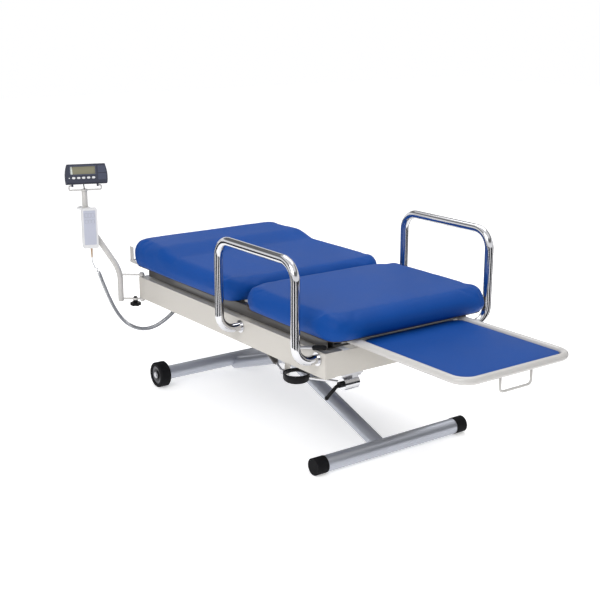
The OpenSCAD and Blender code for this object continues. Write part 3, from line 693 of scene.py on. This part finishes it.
def make_rest_pad():
    low, high = corner("rest_pad", 0), corner("rest_pad", 1)
    z0, z1 = low.z + 0.0005, high.z + 0.001
    x0, x1 = low.x, high.x
    mid = (z0 + z1) / 2
    deep = (z1 - z0) / 2
    outline = even((arc(x0 + 0.006, mid, 0.006, deep, 270, 90, 10)
        + arc(x1 - 0.006, mid, 0.006, deep, 90, -90, 10))[::-1], 160)
    half_w = (high.y - low.y) / 2
    plan = round_corners(x0, x1, 0.040, 0.040, half_w)
    piece = loft_pad("leg_rest_upholstery", outline, half_w, 0.005, plan)
    middle = Vector(((x0 + x1) / 2, MIDDLE.y, 0))
    for v in piece.data.vertices:
        if v.co.z > mid:
            u = (v.co.x - middle.x) / (x1 - x0) * 2
            w = (v.co.y - middle.y) / half_w
            v.co.z += 0.004 * max(1 - u ** 4, 0) * max(1 - w ** 4, 0)
    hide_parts("rest_pad")
    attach(piece, "leg_rest")


make_cushion("seat_upholstery", "seat_cushion", seat_outline(), 0.115, 0.085, "chassis")
make_cushion("backrest_upholstery", "backrest_cushion", back_outline(), 0.095, 0.090,
    "backrest")
make_rest_pad()


# ---- Bent tubes, bands and small fittings ----

def fillet(points, radius, steps=8):
    """A line through points with each corner rounded off."""
    points = [Vector(p) for p in points]
    line = [points[0]]
    for before, here, after in zip(points, points[1:], points[2:]):
        start = here + (before - here).normalized() * radius
        end = here + (after - here).normalized() * radius
        for i in range(steps + 1):
            t = i / steps
            line.append(start * (1 - t) ** 2 + here * 2 * t * (1 - t) + end * t ** 2)
    line.append(points[-1])
    return line


def tube(name, line, radius, finish, sides=20, side=(0.61, -0.79, 0.05)):
    """A round tube along a line, with softened, closed ends."""
    side = Vector(side)
    ends = 0.25 * radius
    first = (line[1] - line[0]).normalized()
    last = (line[-1] - line[-2]).normalized()
    spine = [(line[0], 0.0), (line[0], 1 - ends / radius), (line[0] + first * ends, 1.0)]
    spine += [(p, 1.0) for p in line[1:-1]]
    spine += [(line[-1] - last * ends, 1.0), (line[-1], 1 - ends / radius), (line[-1], 0.0)]
    verts, faces = [], []
    for k, (p, share) in enumerate(spine):
        ahead = spine[min(k + 2, len(spine) - 1)][0] - spine[max(k - 2, 0)][0]
        ahead.normalize()
        side = (side - ahead * side.dot(ahead)).normalized()
        up = ahead.cross(side)
        reach = radius * max(share, 0.02)
        for i in range(sides):
            angle = 2 * math.pi * i / sides
            verts.append(p + reach * (math.cos(angle) * side + math.sin(angle) * up))
        if k:
            for i in range(sides):
                j = (i + 1) % sides
                a, b = (k - 1) * sides, k * sides
                faces.append((a + i, a + j, b + j, b + i))
    return place_mesh(name, verts, faces, finish)


POLE_LOW = (-658.86, -385.16)
POLE_HIGH = (-736.43, -484.45)
FACE = Vector((math.cos(math.radians(-19.4)), math.sin(math.radians(-19.4)), 0))
ACROSS = Vector((-FACE.y, FACE.x, 0))


def make_pole():
    corners = [at(*POLE_LOW, 325), at(*POLE_LOW, 452), at(*POLE_HIGH, 648), at(*POLE_HIGH, 769)]
    piece = tube("pole_tube", fillet(corners, 0.042, 10), 0.011, "white_paint", 28)
    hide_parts("pole")
    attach(piece, "pole")


def make_bracket():
    """The wire yoke that carries the indicator on the pole's top."""
    middle = at(*POLE_HIGH, 0) + ACROSS * 0.004
    half, stub = 0.062, 0.016
    low, high = 0.772, 0.789
    corners = [middle + ACROSS * y + Vector((0, 0, z)) for y, z in ((stub - half, high),
        (-half, high), (-half, low), (half, low), (half, high), (half - stub, high))]
    yoke = tube("indicator_yoke", fillet(corners, 0.006, 6), 0.0028, "white_paint", 14)
    foot = lathe("yoke_foot", at(*POLE_HIGH, 0), ((0.0080, 0.7685), (0.0080, 0.7745),
        (0.0090, 0.7752), (0.0118, 0.7752), (0.0128, 0.7742), (0.0128, 0.7685)), "white_paint")
    foot.parent = yoke
    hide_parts("indicator_bracket")
    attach(yoke, "pole")


def make_pull_handle():
    low, high = corner("pull_handle", 0), corner("pull_handle", 1)
    wire = 0.004
    x = (low.x + high.x) / 2
    y0, y1 = low.y + wire, high.y - wire
    z0, z1 = low.z + wire, high.z - 0.001
    corners = [Vector(p) for p in ((x, y0, z1), (x, y0, z0), (x, y1, z0), (x, y1, z1))]
    piece = tube("pull_loop", fillet(corners, 0.016), wire, "white_paint", 16)
    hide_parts("pull_handle")
    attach(piece, "leg_rest")


def lathe(name, middle, profile, finish, sides=40):
    """A ring turned about a vertical line from a closed side view of (radius, height)."""
    verts, faces = [], []
    count = len(profile)
    for i in range(sides):
        angle = 2 * math.pi * i / sides
        for r, z in profile:
            verts.append(Vector((middle.x + r * math.cos(angle), middle.y + r * math.sin(angle), z)))
        a, b = i * count, (i + 1) % sides * count
        for k in range(count):
            m = (k + 1) % count
            faces.append((a + k, b + k, b + m, a + m))
    return place_mesh(name, verts, faces, finish)


def make_heel_loop():
    """The heel band, tallest in front, with rolled rims."""
    low, high = corner("heel_loop", 0), corner("heel_loop", 1)
    middle = (low + high) / 2
    outer = (high.x - low.x) / 2
    wall = 0.0055
    top = high.z
    tilt = math.radians(9)
    away = Vector((math.cos(math.radians(144)), math.sin(math.radians(144)), 0))
    sides = 72
    verts, faces = [], []
    for i in range(sides):
        angle = 2 * math.pi * i / sides
        out = Vector((math.cos(angle), math.sin(angle), 0))
        bottom = low.z + (outer + out.dot(away) * outer) * math.tan(tilt)
        mid = (top + bottom) / 2
        half = (top - bottom) / 2
        for k in range(16):
            turn = 2 * math.pi * k / 16
            c, d = math.cos(turn), math.sin(turn)
            r = outer - wall / 2 + wall / 2 * math.copysign(abs(c) ** 0.7, c)
            z = mid + half * math.copysign(abs(d) ** 0.35, d)
            verts.append(Vector((middle.x + out.x * r, middle.y + out.y * r, z)))
        a, b = i * 16, (i + 1) % sides * 16
        for k in range(16):
            m = (k + 1) % 16
            faces.append((a + k, b + k, b + m, a + m))
    piece = place_mesh("heel_band", verts, faces, "black_plastic")
    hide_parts("heel_loop")
    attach(piece, "stirrup")


def on_face(x, y, z):
    """A point on the indicator, from its tilt axis: ahead, across and up, in millimetres."""
    lean = math.radians(14)
    ahead = FACE * math.cos(lean) + Vector((0, 0, math.sin(lean)))
    rise = Vector((0, 0, math.cos(lean))) - FACE * math.sin(lean)
    return at(*POLE_HIGH, 789) + (ahead * x + ACROSS * y + rise * z) / 1000


def on_handset(x, y, z):
    """A point on the hand control: ahead and across from the pole's middle, and height."""
    return at(*POLE_HIGH, z) + (FACE * x + ACROSS * y) / 1000


def face_plate(name, y0, y1, z0, z1, x0, thick, round_r, finish, hole=None, spot=on_face,
        body="indicator"):
    """A thin plate on a face with round corners, or a frame about a hole."""
    def outline(room, x):
        points = []
        r = max(round_r - room, 0.3)
        for cy, cz, start in ((y1 - round_r, z1 - round_r, 0), (y0 + round_r, z1 - round_r, 90),
                (y0 + round_r, z0 + round_r, 180), (y1 - round_r, z0 + round_r, 270)):
            for k in range(7):
                a = math.radians(start + 15 * k)
                points.append(spot(x, cy + r * math.cos(a), cz + r * math.sin(a)))
        return points
    edge = min(0.5, thick / 2)
    rings = [outline(0, x0), outline(0, x0 + thick - edge), outline(edge, x0 + thick)]
    if hole:
        rings += [outline(hole - edge, x0 + thick), outline(hole, x0 + thick - edge),
            outline(hole, x0)]
    count = len(rings[0])
    verts = [p for ring in rings for p in ring]
    faces = []
    for k in range(len(rings) - 1):
        for i in range(count):
            j = (i + 1) % count
            faces.append((k * count + i, k * count + j, (k + 1) * count + j,
                (k + 1) * count + i))
    if not hole:
        faces.append(tuple(range(2 * count, 3 * count)))
        faces.append(tuple(reversed(range(count))))
    piece = place_mesh(name, verts, faces, finish, smooth=False)
    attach(piece, body)


def dress_indicator():
    face_plate("window_frame", -53.5, 48.5, 38.5, 75.5, 19.6, 1.5, 4, "slate_trim", 3.4)
    face_plate("upper_patch", 55, 86, 47, 73, 19.6, 0.9, 3, "slate_trim")
    face_plate("lower_patch", 55, 87, 19, 43, 19.6, 0.9, 3, "slate_trim")
    face_plate("lamp", -57.5, -53.5, 26, 30, 19.6, 1.0, 1.9, "white_plastic")


def dress_handset():
    """Two rows of keys, outlined by thin raised frames."""
    for row, (z0, z1) in enumerate(((672, 689), (649, 663))):
        for k, y in enumerate((-3, 10, 23)):
            face_plate(f"hand_key_{row + 1}_{k + 1}", y - 5.5, y + 5.5, z0, z1, 54.8, 0.6, 2,
                "membrane_print", 1.1, on_handset, "pole")


make_pole()
make_bracket()
make_pull_handle()
make_heel_loop()
dress_indicator()
dress_handset()


# ---- Floor and light ----

def add_floor():
    mesh = bpy.data.meshes.new("floor")
    half = 14
    mesh.from_pydata([(-half, -half, 0), (half, -half, 0), (half, half, 0), (-half, half, 0)],
        [], [(0, 1, 2, 3)])
    floor = bpy.data.objects.new("floor", mesh)
    SCENE.collection.objects.link(floor)
    f = Finish("floor_finish", (0.90, 0.90, 0.90), 0.9, Specular_IOR_Level=0.0,
        Emission_Strength=0.42)
    f.tint(f.noise(2, 2), 0.985, 1.01)
    f.set("Emission Color", rgba((1.0, 1.0, 1.0)))
    floor.data.materials.append(f.material)


def add_lamp(name, place, aim, size, power):
    data = bpy.data.lights.new(name, "AREA")
    data.shape = "RECTANGLE"
    data.size, data.size_y = size
    data.energy = power
    lamp = bpy.data.objects.new(name, data)
    lamp.location = place
    lamp.rotation_euler = (Vector(aim) - Vector(place)).to_track_quat("-Z", "Y").to_euler()
    SCENE.collection.objects.link(lamp)


def add_light():
    """White at the horizon, with a grey band well above it that polished tubes can mirror."""
    world = SCENE.world or bpy.data.worlds.new("World")
    SCENE.world = world
    world.use_nodes = True
    tree = world.node_tree
    sky = tree.nodes.new("ShaderNodeTexCoord")
    split = tree.nodes.new("ShaderNodeSeparateXYZ")
    tree.links.new(sky.outputs["Generated"], split.inputs[0])
    ramp = tree.nodes.new("ShaderNodeValToRGB")
    tree.links.new(split.outputs["Z"], ramp.inputs["Fac"])
    stops = ((0.0, 1.0), (0.30, 1.0), (0.40, 0.22), (0.58, 0.16), (0.70, 0.95), (1.0, 0.8))
    while len(ramp.color_ramp.elements) < len(stops):
        ramp.color_ramp.elements.new(0.5)
    for stop, (place, grey) in zip(ramp.color_ramp.elements, stops):
        stop.position = place
        stop.color = (grey, grey, grey * 1.01, 1)
    backdrop = tree.nodes["Background"]
    tree.links.new(ramp.outputs["Color"], backdrop.inputs["Color"])
    backdrop.inputs["Strength"].default_value = 1.0
    add_lamp("Key", (1.9, -3.4, 3.4), (0, 0, 0.4), (2.4, 2.4), 95)
    add_lamp("Top", (-0.8, 1.2, 4.0), (0, 0, 0.4), (3.6, 2.6), 75)
    SCENE.view_settings.view_transform = "Standard"


def add_cards():
    """Dark cards in a ring, seen only by polished surfaces, which give them their contrast."""
    radius = 1.5
    height = 0.66
    gaps = 9
    share = 0.74
    f = Finish("card_finish", (0.035, 0.035, 0.04), 0.9, Specular_IOR_Level=0.0)
    f.tint(f.noise(1.5, 2), 0.6, 1.6)
    verts, faces = [], []
    for k in range(gaps):
        for i in range(9):
            angle = 2 * math.pi * (k + share * i / 8) / gaps + 0.3
            spot = Vector((radius * math.cos(angle), radius * math.sin(angle), 0.005))
            verts += [spot, spot + Vector((0, 0, height))]
            if i:
                n = len(verts)
                faces.append((n - 4, n - 2, n - 1, n - 3))
    mesh = bpy.data.meshes.new("reflector_cards")
    mesh.from_pydata([tuple(v) for v in verts], [], faces)
    cards = bpy.data.objects.new("reflector_cards", mesh)
    SCENE.collection.objects.link(cards)
    mesh.materials.append(f.material)
    cards.visible_camera = False
    cards.visible_diffuse = False
    cards.visible_shadow = False
    cards.visible_transmission = False


add_floor()
add_light()
add_cards()
